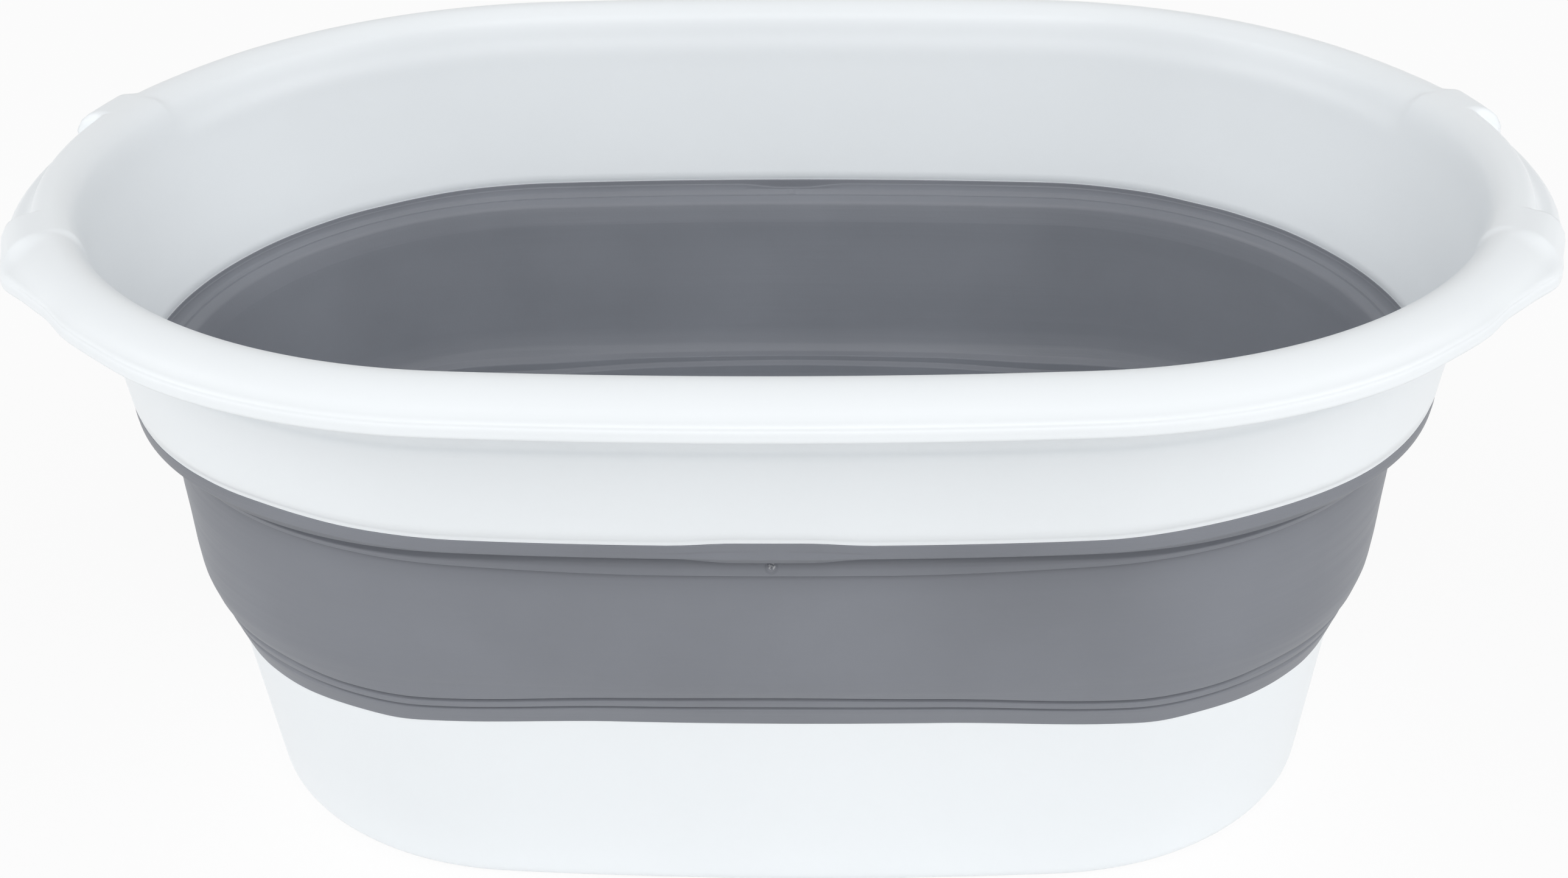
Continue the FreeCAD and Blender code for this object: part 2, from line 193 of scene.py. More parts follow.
# Above it a groove runs along the lip, and inside there is a flat spot on the shelf
GROOVE_DEPTH, GROOVE_PLACES, GROOVE_HUMP, GROOVE_REACH = 0.5, (3.0, 10.0, 30.0, 42.0), (175.6, 0.4), -23.0
SPOT_LIFT, SPOT_REACH, SPOT_STRETCH, SPOT_EDGE = 0.45, -29.3, 1.1, (1.0, 1.9)
SHELF_REACHES, SHELF_HEIGHT = (-32.0, -26.0), 172.5
# Painted highlight on the crumbs at the moulding gates: its colour, how far it reaches in metres, how fine its crumbs
# are and which noise values get it
GATE_GLINT_COLOUR = (0.5, 0.51, 0.53, 1.0)
GATE_GLINT_FADE = (0.0009, 0.0027)
GATE_GLINT_GRAIN = 1100.0
GATE_GLINT_VALUES = (0.4, 0.46)

# Range of noise values that the plastics use, detail of their noises, and refraction
NOISE_RANGE = (0.3, 0.7)
BLOTCH_DETAIL, STREAK_DETAIL, GRAIN_DETAIL = 3.0, 4.0, 2.0
PLASTIC_IOR = 1.4

# Stage, in metres. FLOOR_SHOWN is the share of pure white in the floor as it is seen
PURE_WHITE = (1.0, 1.0, 1.0, 1.0)
FLOOR_HALF = 8.0
FLOOR_SHOWN = 0.9
FRONT_LAMP_PLACE = (0.4, -5.35, 4.65)
SIDE_LAMP_PLACE = (6.0, -1.6, 3.3)
LAMP_AIM = (0.0, 0.0, 0.15)
LAMP_SIZE = 5.0
SENSOR_WIDTH = 36.0
NEAREST_SEEN, FARTHEST_SEEN = 0.05, 50.0


class TubSizes(PropertyGroup):
    """Outline and heights of the opened tub."""
    half_length: FloatProperty(name="Half length", description="From the middle to the flange lip at an end",
                               default=cad_high.x, unit="LENGTH")
    half_width: FloatProperty(name="Half width", description="From the middle to the flange lip at a side",
                              default=cad_high.y, unit="LENGTH")
    crest_height: FloatProperty(name="Crest height", description="Height of the rim's crest line above the floor",
                                default=0.2554, unit="LENGTH")
    flange_reach: FloatProperty(name="Flange reach", description="From the crest line out to the lip",
                                default=0.017, unit="LENGTH")
    seam_height: FloatProperty(name="Upper seam", description="Height of the seam between rim and soft wall",
                               default=0.1784, unit="LENGTH")
    base_seam_height: FloatProperty(name="Lower seam", description="Height of the seam between base and soft wall",
                                    default=0.0815, unit="LENGTH")
    side_turn: FloatProperty(name="Side turn", description="Turn of the outline over half a side",
                             default=math.radians(4.0), subtype="ANGLE")
    end_turn: FloatProperty(name="End turn", description="Turn of the outline over half an end",
                            default=math.radians(18.5), subtype="ANGLE")
    floor_flat: FloatProperty(name="Flat at the floor", description="How much flatter than a half circle an end is",
                              default=0.0045, unit="LENGTH")
    base_flat: FloatProperty(name="Flat at the lower seam", description="The same, at the lower seam",
                             default=0.0318, unit="LENGTH")
    seam_flat: FloatProperty(name="Flat at the upper seam", description="The same, at the upper seam",
                             default=0.0048, unit="LENGTH")
    crest_flat: FloatProperty(name="Flat at the crest", description="The same, at the crest",
                              default=-0.0025, unit="LENGTH")
    handle_half: FloatProperty(name="Half handle", description="From the middle of a handle's bar to its ears",
                               default=0.05, unit="LENGTH")
    rim_wall: FloatProperty(name="Rim wall", description="Wall of the hard rim", default=0.0024, unit="LENGTH")
    wave: FloatProperty(name="Seam wave", description="How far the moulded seams wander up and down",
                        default=0.0007, unit="LENGTH")
    billow: FloatProperty(name="Wall billow", description="How far the soft band bulges in and out",
                          default=0.0005, unit="LENGTH")
    wave_seed: IntProperty(name="Wave seed", description="Picks another wander of the seams", default=4)


class TubFinish(PropertyGroup):
    """Colours and gloss of the two plastics."""
    white: FloatVectorProperty(name="White", description="Hard plastic of rim and base", subtype="COLOR", size=4,
                               min=0.0, max=1.0, default=(0.915, 0.950, 0.975, 1.0))
    grey: FloatVectorProperty(name="Grey", description="Soft plastic of the folding wall", subtype="COLOR", size=4,
                              min=0.0, max=1.0, default=(0.215, 0.226, 0.254, 1.0))
    white_roughness: FloatProperty(name="White roughness", description="Mean roughness of the hard plastic",
                                   default=0.34, min=0.0, max=1.0, subtype="FACTOR")
    grey_roughness: FloatProperty(name="Grey roughness", description="Mean roughness of the soft plastic",
                                  default=0.46, min=0.0, max=1.0, subtype="FACTOR")


class TubStage(PropertyGroup):
    """Camera, lamps and floor."""
    azimuth: FloatProperty(name="Azimuth", description="Camera's turn round the tub",
                           default=math.radians(1.96), subtype="ANGLE")
    elevation: FloatProperty(name="Elevation", description="Camera's height angle",
                             default=math.radians(29.29), subtype="ANGLE")
    roll: FloatProperty(name="Roll", description="Camera's turn about its own axis",
                        default=math.radians(-0.93), subtype="ANGLE")
    distance: FloatProperty(name="Distance", description="From the aim to the camera", default=1.01915, unit="LENGTH")
    aim: FloatVectorProperty(name="Aim", description="Point that the camera looks at", default=(0.0, 0.00124, 0.13066),
                             subtype="XYZ", unit="LENGTH")
    lens: FloatProperty(name="Lens", description="Focal length on a 36 mm sensor, in millimetres", default=57.1)
    sky: FloatProperty(name="Sky", description="Even light from all round", default=0.305, min=0.0)
    front_lamp: FloatProperty(name="Front lamp", description="Power of the soft lamp in front, above", default=195.0,
                              unit="POWER")
    side_lamp: FloatProperty(name="Side lamp", description="Power of the soft lamp at each side", default=165.0,
                             unit="POWER")
    floor: FloatVectorProperty(name="Floor", description="Colour of the floor", subtype="COLOR", size=4, min=0.0,
                               max=1.0, default=(0.92, 0.92, 0.92, 1.0))


class Wire:
    """A value in a node tree. Sums of wires become Math nodes."""

    def __init__(self, tree, socket):
        self.tree = tree
        self.socket = socket

    def math(self, operation, *others):
        node = self.tree.nodes.new("ShaderNodeMath")
        node.operation = operation
        for place, value in zip(node.inputs, (self, *others)):
            plug(self.tree, value, place)
        return Wire(self.tree, node.outputs[0])

    def __add__(self, other):
        return self.math("ADD", other)

    def __sub__(self, other):
        return self.math("SUBTRACT", other)

    def __rsub__(self, other):
        return (self * -1.0) + other

    def __mul__(self, other):
        return self.math("MULTIPLY", other)

    def __truediv__(self, other):
        return self.math("DIVIDE", other)

    def chosen(self, low, high):
        """Low where this wire is 0 and high where it is 1."""
        return low + (high - low) * self


def plug(tree, value, place):
    """Link a wire or a socket to a place, or set a plain value there."""
    if isinstance(value, Wire):
        tree.links.new(value.socket, place)
    elif isinstance(value, bpy.types.NodeSocket):
        tree.links.new(value, place)
    else:
        place.default_value = value


def added(tree, kind, values, **settings):
    """A new node with its settings, and its inputs set or linked by name."""
    node = tree.nodes.new(kind)
    for name, value in settings.items():
        setattr(node, name, value)
    for name, value in values.items():
        plug(tree, value, node.inputs[name])
    return node


def ranged(tree, value, source, target):
    """A value brought from one range of numbers into another and kept inside it."""
    values = {"Value": value, "From Min": source[0], "From Max": source[1], "To Min": target[0], "To Max": target[1]}
    return Wire(tree, added(tree, "ShaderNodeMapRange", values, clamp=True).outputs["Result"])


WALL_INPUTS = ["Half Length", "Half Width", "Side Turn", "End Turn", "Floor Flat", "Base Flat", "Seam Flat",
               "Crest Flat", "Base Seam Height", "Seam Height", "Crest Height", "Seam Wave", "Wall Billow",
               "Wave Seed"]


def oval_wall_tree():
    """Node tree that lays a strip of wall rows round the tub's oval, which is made of end, corner and side arcs."""
    tree = bpy.data.node_groups.new("oval_wall", "GeometryNodeTree")
    tree.interface.new_socket("Geometry", in_out="INPUT", socket_type="NodeSocketGeometry")
    for name in WALL_INPUTS:
        tree.interface.new_socket(name, in_out="INPUT", socket_type="NodeSocketFloat")
    tree.interface.new_socket("Material", in_out="INPUT", socket_type="NodeSocketMaterial")
    tree.interface.new_socket("Geometry", in_out="OUTPUT", socket_type="NodeSocketGeometry")
    entry = tree.nodes.new("NodeGroupInput")

    def given(name):
        return Wire(tree, entry.outputs[name])

    def row_value(name):
        node = added(tree, "GeometryNodeInputNamedAttribute", {"Name": name}, data_type="FLOAT")
        return Wire(tree, node.outputs["Attribute"])

    def wander(scale, rise_scale, seed_step, distance):
        place = added(tree, "ShaderNodeCombineXYZ", {"X": cosine * scale, "Y": sine * scale, "Z": level * rise_scale})
        noise = added(tree, "ShaderNodeTexNoise", {"Vector": place.outputs[0], "W": given("Wave Seed") + seed_step,
                                                   "Scale": 1.0, "Detail": 1.0}, noise_dimensions="4D")
        return (Wire(tree, noise.outputs[0]) - 0.5) * 2.0 * distance

    turn, level, height = row_value("turn"), row_value("level"), row_value("height")
    cosine, sine = turn.math("COSINE"), turn.math("SINE")
    bulge = wander(scale=2.6, rise_scale=14.0, seed_step=7.0, distance=given("Wall Billow"))
    inset = row_value("inset") + bulge * row_value("billow")
    spread = row_value("spread")
    levels = [0.0, given("Base Seam Height"), given("Seam Height"), given("Crest Height")]
    flats = [given(name) for name in ("Floor Flat", "Base Flat", "Seam Flat", "Crest Flat")]
    flat = flats[0]
    for place in range(len(flats) - 1):
        rise = flats[place + 1] - flats[place]
        flat = flat + ranged(tree, level, levels[place:place + 2], (0.0, rise))

    half_length = given("Half Length") - inset
    half_width = given("Half Width") - inset
    corner = half_width - flat
    side_lean = (given("Side Turn") / 2.0).math("TANGENT")
    end_lean = (given("End Turn") / 2.0).math("TANGENT")
    centre_x = (half_length - corner - flat * end_lean) / (1.0 - side_lean * end_lean)
    centre_y = flat - centre_x * side_lean
    end_radius = corner + centre_y / given("End Turn").math("SINE")
    side_radius = corner + centre_x / given("Side Turn").math("SINE")

    slope = sine.math("ABSOLUTE").math("ARCSINE")
    on_corner = slope.math("GREATER_THAN", given("End Turn"))
    on_side = slope.math("GREATER_THAN", math.pi / 2 - given("Side Turn"))
    zero = on_side * 0.0
    radius = on_side.chosen(on_corner.chosen(end_radius, corner), side_radius)
    middle_x = on_side.chosen(on_corner.chosen(half_length - end_radius, centre_x), zero)
    middle_y = on_side.chosen(on_corner.chosen(zero, centre_y), half_width - side_radius)
    across = (middle_x * cosine.math("SIGN") + radius * cosine) * spread
    along = (middle_y * sine.math("SIGN") + radius * sine) * spread

    lift = wander(scale=3.4, rise_scale=25.0, seed_step=0.0, distance=given("Seam Wave")) * row_value("sway")
    position = added(tree, "ShaderNodeCombineXYZ", {"X": across, "Y": along, "Z": height + lift})
    shape = entry.outputs["Geometry"]
    chain = {"SetPosition": {"Position": position.outputs[0]}, "SetShadeSmooth": {"Shade Smooth": True},
             "RealizeInstances": {}, "SetMaterial": {"Material": entry.outputs["Material"]}}
    for kind, values in chain.items():
        shape = added(tree, "GeometryNode" + kind, {"Geometry": shape, **values}).outputs[0]
    leave = tree.nodes.new("NodeGroupOutput")
    tree.links.new(shape, leave.inputs["Geometry"])
    return tree


def quarter_turns(stretches):
    """Turns of the outline's normal over a quarter of the tub, in degrees."""
    turns = []
    for start, end, count in stretches:
        turns += [start + (end - start) * step / count for step in range(count)]
    return turns


def all_turns(stretches):
    """Turns all the way round, in radians."""
    quarter = quarter_turns(stretches)
    back = [180.0 - turn for turn in reversed(quarter[1:])]
    half = quarter + [90.0] + back
    return np.radians(np.array(half + [180.0 + turn for turn in half]))


def rounded(corners, step, closed=True, fine=()):
    """Section line through the corners, each rounded to its own radius, in steps no longer than step.

    Each fine band of heights has a shorter step of its own."""
    line = []
    count = len(corners)
    for index, (reach, height, radius) in enumerate(corners):
        here = Vector((reach, height))
        if radius == 0.0 or not closed and index in (0, count - 1):
            line.append(here)
            continue
        before = Vector(corners[index - 1][:2]) - here
        after = Vector(corners[(index + 1) % count][:2]) - here
        bend = math.pi - before.angle(after)
        cut = min(radius * math.tan(bend / 2), before.length * ROUNDED_SHARE, after.length * ROUNDED_SHARE)
        start = here + before.normalized() * cut
        end = here + after.normalized() * cut
        pieces = max(2, math.ceil(bend / BEND_STEP))
        for piece in range(pieces + 1):
            share = piece / pieces
            line.append(start * (1 - share) ** 2 + here * 2 * share * (1 - share) + end * share ** 2)
    divided = []
    for index, here in enumerate(line):
        divided.append(here)
        if index == len(line) - 1 and not closed:
            break
        after = line[(index + 1) % len(line)]
        middle = (here.y + after.y) / 2
        longest = min([step] + [short for low, high, short in fine if low < middle < high])
        parts = math.ceil((after - here).length / longest)
        divided += [here.lerp(after, part / parts) for part in range(1, parts)]
    return np.array([tuple(point) for point in divided])


def ease(value, low, high):
    """Share from 0 at low to 1 at high, easing in and out."""
    share = np.clip((value - low) / (high - low), 0.0, 1.0)
    return share * share * (3 - 2 * share)


def within(value, start, full, fade, end):
    """Share that eases in from start to full and out again from fade to end."""
    return ease(value, start, full) * (1 - ease(value, fade, end))


def hump(value, middle, width):
    """Share that is 1 in the middle and dies away over about two widths to both sides."""
    return np.exp(-((value - middle) / width) ** 2)


def spline_rows(control, pieces):
    """Rows on a smooth line through the control rows, which have the shape (row, column, 2)."""
    spans = np.maximum(np.linalg.norm(np.diff(control, axis=0), axis=2, keepdims=True), SHORTEST_SPAN)
    slopes = np.diff(control, axis=0) / spans
    inner = (slopes[:-1] * spans[1:] + slopes[1:] * spans[:-1]) / (spans[1:] + spans[:-1])
    tangents = np.concatenate([slopes[:1], inner, slopes[-1:]])
    rows = []
    for index, count in enumerate(pieces):
        first, second, span = control[index], control[index + 1], spans[index]
        for piece in range(count):
            share = piece / count
            rows.append((2 * share ** 3 - 3 * share ** 2 + 1) * first + (3 * share ** 2 - 2 * share ** 3) * second
                        + (share ** 3 - 2 * share ** 2 + share) * span * tangents[index]
                        + (share ** 3 - share ** 2) * span * tangents[index + 1])
    rows.append(control[-1])
    return np.array(rows)


def beside(section, distance):
    """Section line moved to the right of its direction."""
    points = np.array(section, float)
    steps = np.diff(points, axis=0)
    angles = np.unwrap(np.arctan2(steps[:, 1], steps[:, 0]))
    first = np.concatenate([angles[:1], angles])
    second = np.concatenate([angles, angles[-1:]])
    turn = (first + second) / 2
    length = distance / np.cos((second - first) / 2)
    return points + np.stack([np.sin(turn) * length, -np.cos(turn) * length], axis=1)


def oval_arcs(sizes, inset, flat):
    """Half length, centre of the corner arc, and radii of corner, end and side arcs, in millimetres."""
    half_length = (sizes.half_length - sizes.flange_reach) / MM - inset
    half_width = (sizes.half_width - sizes.flange_reach) / MM - inset
    corner = half_width - flat
    side_lean, end_lean = math.tan(sizes.side_turn / 2), math.tan(sizes.end_turn / 2)
    centre_x = (half_length - corner - flat * end_lean) / (1 - side_lean * end_lean)
    centre_y = flat - centre_x * side_lean
    end_radius = corner + centre_y / math.sin(sizes.end_turn)
    side_radius = corner + centre_x / math.sin(sizes.side_turn)
    return half_length, centre_x, centre_y, corner, end_radius, side_radius


def crest_offset(sizes, turns):
    """Distance of the crest line from the long axis at each turn of its normal, in millimetres."""
    _, _, centre_y, corner, end_radius, _ = oval_arcs(sizes, 0.0, sizes.crest_flat / MM)
    sine = np.abs(np.sin(turns))
    return np.where(sine < math.sin(sizes.end_turn), end_radius * sine, centre_y + corner * sine)


def from_middle(sizes, turns, inset, flat):
    """Distance of the outline from the middle along the long axis at each turn of its normal, in millimetres."""
    half_length, centre_x, _, corner, end_radius, side_radius = oval_arcs(sizes, inset, flat)
    cosine = np.abs(np.cos(turns))
    on_end = np.abs(np.sin(turns)) < math.sin(sizes.end_turn)
    beyond = np.where(on_end, half_length - end_radius + end_radius * cosine, centre_x + corner * cosine)
    return np.where(cosine < math.sin(sizes.side_turn), side_radius * cosine, beyond)


def line_lift(sizes, turns, line, flat):
    """How far a moulded line stands above its mean height all the way round, in millimetres."""
    place = from_middle(sizes, turns, line["inset"], flat / MM)
    steps = sum(amount * ease(place, low, high) for amount, low, high in line["steps"])
    humps = sum(amount * hump(place, middle, width) for amount, middle, width in line["humps"])
    return line["lift"] + steps + humps


def crease_shift(sizes, turns, height):
    """Reach and height that the lower crease lines gain: they rise towards the ends and in the middle of a side."""
    at_end = ease(np.abs(np.cos(turns)), *CREASE_END_COSINES)
    lift = line_lift(sizes, turns, CREASE, sizes.base_flat) + CREASE_END_LIFT * at_end
    near = within(height, *CREASE["band"])
    return CREASE_END_REACH * at_end * near, lift * near


def bead_lift(sizes, turns, height):
    """How far the upper bead's lower edge stands above its mean height: it sags along the sides."""
    return line_lift(sizes, turns, BEAD, sizes.seam_flat) * within(height, *BEAD["band"])


def lip_dip(sizes, turns, rows, dip):
    """Height that the upper lip loses at a gate."""
    place = from_middle(sizes, turns, dip["inset"], sizes.seam_flat / MM)
    near = ease(rows[:, :, 0], *dip["reaches"]) * within(rows[:, :, 1], *dip["band"])
    return -dip["depth"] * (1 - ease(place, *dip["places"])) * near


def outside_seam(rows):
    """True on the outer side of the line that halves the rim's wall."""
    return rows[:, :, 0] > SEAM_MIDDLE[0] + (rows[:, :, 1] - SEAM_MIDDLE[1]) * RIM_LEAN


def upper_seam_lift(sizes, turns, height, outside):
    """How far the upper seam stands above its mean height: highest on the corners and at the gates."""
    outer = line_lift(sizes, turns, UPPER_SEAM, sizes.seam_flat)
    inner = -INNER_SEAM_DROP - INNER_SEAM_END_DROP * np.cos(turns) ** 2
    near = np.where(outside, ease(height, *OUTER_SEAM_START), ease(height, *INNER_SEAM_START))
    return np.where(outside, outer, inner) * near * (1 - ease(height, *UPPER_SEAM_FADE))


def lower_seam_lift(sizes, turns, height):
    """How far the lower seam stands above its mean height: it sags where the sides meet the corners."""
    return line_lift(sizes, turns, LOWER_SEAM, sizes.base_flat) * within(height, *LOWER_SEAM["band"])


def gate_relief(sizes, turns, rows, outside):
    """Reach that the moulding gates add: outside a broken stub in a ring and a groove, inside a flat spot."""
    place = from_middle(sizes, turns, GATE_INSET, sizes.seam_flat / MM)
    along = np.where(np.cos(turns) * np.sin(turns) < 0, place, -place)
    reach, height = rows[:, :, 0], rows[:, :, 1]
    ring = np.hypot(along, height - GATE_PLACE[2] / MM)
    stub = np.hypot((along - STUB_ALONG) / STUB_HALF_LENGTH, (height - STUB_HEIGHT) / STUB_HALF_HEIGHT)
    crumb = STUB_CRUMB * np.sin(along * STUB_CRUMB_TURN + STUB_CRUMB_START)
    broken = STUB_REACH + crumb - STUB_LEAN * (height - STUB_HEIGHT)
    mark = broken * (1 - ease(stub, *STUB_EDGE))
    mark = mark - RING_DEPTH * hump(ring, *RING_HUMP) + RING_EDGE * hump(ring, *RING_EDGE_HUMP)
    groove = -GROOVE_DEPTH * within(place, *GROOVE_PLACES) * hump(height, *GROOVE_HUMP)
    spot = SPOT_LIFT * (1 - ease(np.hypot(along, (reach - SPOT_REACH) * SPOT_STRETCH), *SPOT_EDGE))
    on_shelf = (reach > SHELF_REACHES[0]) & (reach < SHELF_REACHES[1]) & (height > SHELF_HEIGHT)
    return np.where(outside, mark * (ring < MARK_RADIUS) + groove * (reach > GROOVE_REACH), spot * on_shelf)


def lip_swing(offset):
    """Reach that the lip gains at an ear, from its distance to the long axis, in millimetres."""
    out = (LIP_OUT + LIP_SWELL * hump(offset, *LIP_SWELL_HUMP)) * (1 - ease(offset, *LIP_OUT_END))
    return out - sum(depth * hump(offset, *line) for depth, line in LIP_DIPS)


def handle_rows(sizes, turns, sections, rows):
    """Control rows that pass from flange to ear to bar and back, with the shape (row, column, 2)."""
    flange, ear, bar = (np.array(section)[:, None, :] for section in sections)
    ends = np.array([EAR_ENDS[row] for row in rows])[:, :, None]
    steps = np.array([BAR_STEPS[row] for row in rows])[:, None]
    half = sizes.handle_half / MM
    offset = crest_offset(sizes, turns)[None, :] + ear[:, :, 0] * np.abs(np.sin(turns))[None, :]
    along = np.clip((offset - ends[:, 0]) / (ends[:, 1] - ends[:, 0]), 0.0, 1.0) ** EAR_POWER
    on_ear = (1 - ease(along, 0.0, 1.0))[:, :, None]
    on_bar = (1 - ease(offset, half - steps, half + steps))[:, :, None]
    spread = flange + (ear - flange) * on_ear
    swing = flange[:, :, 0] + lip_swing(offset)
    lip = np.array([LIP_SHARES[row] for row in rows])[:, None]
    spread[:, :, 0] += lip * (swing - spread[:, :, 0])
    return spread + (bar - spread) * on_bar


def strip_faces(count, columns, closed, capped):
    """Faces between rows of points that run round the tub. A capped strip has one more point beyond each end."""
    faces = []
    for row in range(count if closed else count - 1):
        first, second = row * columns, (row + 1) % count * columns
        for column in range(columns):
            after = (column + 1) % columns
            faces.append((first + column, first + after, second + after, second + column))
    if capped:
        for pole, row, way in ((0, 0, -1), (1, count - 1, 1)):
            for column in range(columns):
                pair = (row * columns + column, row * columns + (column + 1) % columns)
                faces.append((*pair[::way], count * columns + pole))
    return faces


def laid_round(name, sizes, turns, rows, level, closed, material, sway, billow=0.0, spread=None):
    """A finished mesh object from rows of reach and height in millimetres, with the shape (row, column, 2).

    With a spread, the rows at both ends are drawn in towards the middle of the tub and capped there."""
    shape = rows.shape[:2]
    capped = spread is not None
    faces = strip_faces(*shape, closed, capped)
    points = shape[0] * shape[1] + (2 if capped else 0)
    mesh = bpy.data.meshes.new(name)
    mesh.from_pydata([(0.0, 0.0, 0.0)] * points, [], faces)
    values = {
        "turn": np.broadcast_to(turns, shape),
        "inset": -rows[:, :, 0] * MM,
        "height": rows[:, :, 1] * MM,
        "level": np.broadcast_to(level, shape) * MM,
        "spread": np.broadcast_to(spread[:, None], shape) if capped else np.ones(shape),
        "sway": np.broadcast_to(sway, shape),
        "billow": np.broadcast_to(billow, shape),
    }
    for key, table in values.items():
        flat = table.astype(np.float32).ravel()
        if capped:
            poles = [0.0, 0.0] if key == "spread" else [flat[0], flat[-1]]
            flat = np.concatenate([flat, np.array(poles, np.float32)])
        mesh.attributes.new(key, "FLOAT", "POINT").data.foreach_set("value", flat)
    piece = bpy.data.objects.new(name, mesh)
    bpy.context.scene.collection.objects.link(piece)
    tree = wall_tree()
    modifier = piece.modifiers.new("oval_wall", "NODES")
    modifier.node_group = tree
    inputs = {
        "Half Length": sizes.half_length - sizes.flange_reach, "Half Width": sizes.half_width - sizes.flange_reach,
        "Side Turn": sizes.side_turn, "End Turn": sizes.end_turn, "Floor Flat": sizes.floor_flat,
        "Base Flat": sizes.base_flat, "Seam Flat": sizes.seam_flat, "Crest Flat": sizes.crest_flat,
        "Base Seam Height": sizes.base_seam_height, "Seam Height": sizes.seam_height,
        "Crest Height": sizes.crest_height, "Seam Wave": sizes.wave, "Wall Billow": sizes.billow,
        "Wave Seed": float(sizes.wave_seed),
        "Material": material,
    }
    for item in tree.interface.items_tree:
        if item.in_out == "INPUT" and item.name in inputs:
            modifier[item.identifier] = inputs[item.name]
    graph = bpy.context.evaluated_depsgraph_get()
    made = bpy.data.meshes.new_from_object(piece.evaluated_get(graph))
    if len(made.polygons) != len(faces):
        raise RuntimeError(name + ": the node tree lost faces")
    piece.modifiers.clear()
    piece.data = made
    bpy.data.meshes.remove(mesh)
    for key in values:
        made.attributes.remove(made.attributes[key])
    made.name = name
    return piece


def wall_tree():
    """The node tree of the walls, made when it is first needed."""
    return bpy.data.node_groups.get("oval_wall") or oval_wall_tree()


def noise_of(tree, coordinates, scale, detail, stretch=(1.0, 1.0, 1.0)):
    """Noise on object coordinates, stretched by a scale for each axis."""
    mapped = added(tree, "ShaderNodeMapping", {"Vector": coordinates, "Scale": stretch})
    noise = added(tree, "ShaderNodeTexNoise", {"Vector": mapped.outputs[0], "Scale": scale, "Detail": detail})
    return noise.outputs[0]


def tint_between(tree, value, colour, change):
    """Colour that wanders by a small share round a mean."""
    ramp = tree.nodes.new("ShaderNodeValToRGB")
    plug(tree, value, ramp.inputs[0])
    for element, place, share in zip(ramp.color_ramp.elements, NOISE_RANGE, (1 - change, 1 + change)):
        element.position = place
        element.color = (*(part * share for part in colour[:3]), 1.0)
    return ramp.outputs[0]


def with_gate_glint(tree, coordinates, skin, pale):
    """Colour of the skin with a painted highlight in pale crumbs at the two moulding gates."""
    folded = added(tree, "ShaderNodeVectorMath", {"Vector": coordinates}, operation="ABSOLUTE")
    apart = tree.nodes.new("ShaderNodeVectorMath")
    apart.operation = "DISTANCE"
    plug(tree, folded.outputs[0], apart.inputs[0])
    plug(tree, GATE_PLACE, apart.inputs[1])
    near = ranged(tree, apart.outputs["Value"], GATE_GLINT_FADE, (1.0, 0.0))
    glinting = near * noise_of(tree, coordinates, GATE_GLINT_GRAIN, GRAIN_DETAIL)
    share = ranged(tree, glinting, GATE_GLINT_VALUES, (0.0, 1.0))
    return added(tree, "ShaderNodeMixRGB", {"Fac": share, "Color1": skin, "Color2": pale}).outputs[0]


def plastic(name, colour, roughness, change, swing, blotch, streak, grain, flow, pores, gate_glint=None):
    """Moulded plastic: blotches in colour and gloss, flow streaks along the wall and a fine grain.

    Change and swing say how far colour and roughness wander. Blotch, streak and grain are scales of noise. Flow and
    pores are heights of relief in metres."""
    known = bpy.data.materials.get(name)
    if known:
        return known
    material = bpy.data.materials.new(name)
    material.use_nodes = True
    tree = material.node_tree
    shader = tree.nodes["Principled BSDF"]
    coordinates = tree.nodes.new("ShaderNodeTexCoord").outputs["Object"]
    blotches = noise_of(tree, coordinates, blotch, BLOTCH_DETAIL)
    streaks = noise_of(tree, coordinates, 1.0, STREAK_DETAIL, streak)
    fine = noise_of(tree, coordinates, grain, GRAIN_DETAIL)
    tint = tint_between(tree, blotches, colour, change)
    # Pale crumbs at the gates: a painted highlight, not a colour of the plastic
    if gate_glint:
        tint = with_gate_glint(tree, coordinates, tint, gate_glint)
    plug(tree, tint, shader.inputs["Base Color"])
    mixed = (Wire(tree, blotches) + streaks) * 0.5
    gloss = ranged(tree, mixed, NOISE_RANGE, (roughness - swing, roughness + swing))
    plug(tree, gloss, shader.inputs["Roughness"])
    streaked = added(tree, "ShaderNodeBump", {"Strength": 1.0, "Distance": flow, "Height": streaks})
    skin = added(tree, "ShaderNodeBump", {"Strength": 1.0, "Distance": pores, "Height": fine,
                                          "Normal": streaked.outputs[0]})
    plug(tree, skin.outputs[0], shader.inputs["Normal"])
    shader.inputs["IOR"].default_value = PLASTIC_IOR
    return material


def white_plastic(finish):
    """Hard plastic of rim and base."""
    return plastic("moulded_white", finish.white, finish.white_roughness, change=0.012, swing=0.05, blotch=9.0,
                   streak=(14.0, 14.0, 46.0), grain=700.0, flow=0.00009, pores=0.000012)


def grey_rubber(finish):
    """Soft plastic of the folding wall, with a painted highlight on the crumbs at the gates."""
    return plastic("soft_grey", finish.grey, finish.grey_roughness, change=0.07, swing=0.07, blotch=11.0,
                   streak=(9.0, 9.0, 330.0), grain=1100.0, flow=0.00012, pores=0.000025, gate_glint=GATE_GLINT_COLOUR)


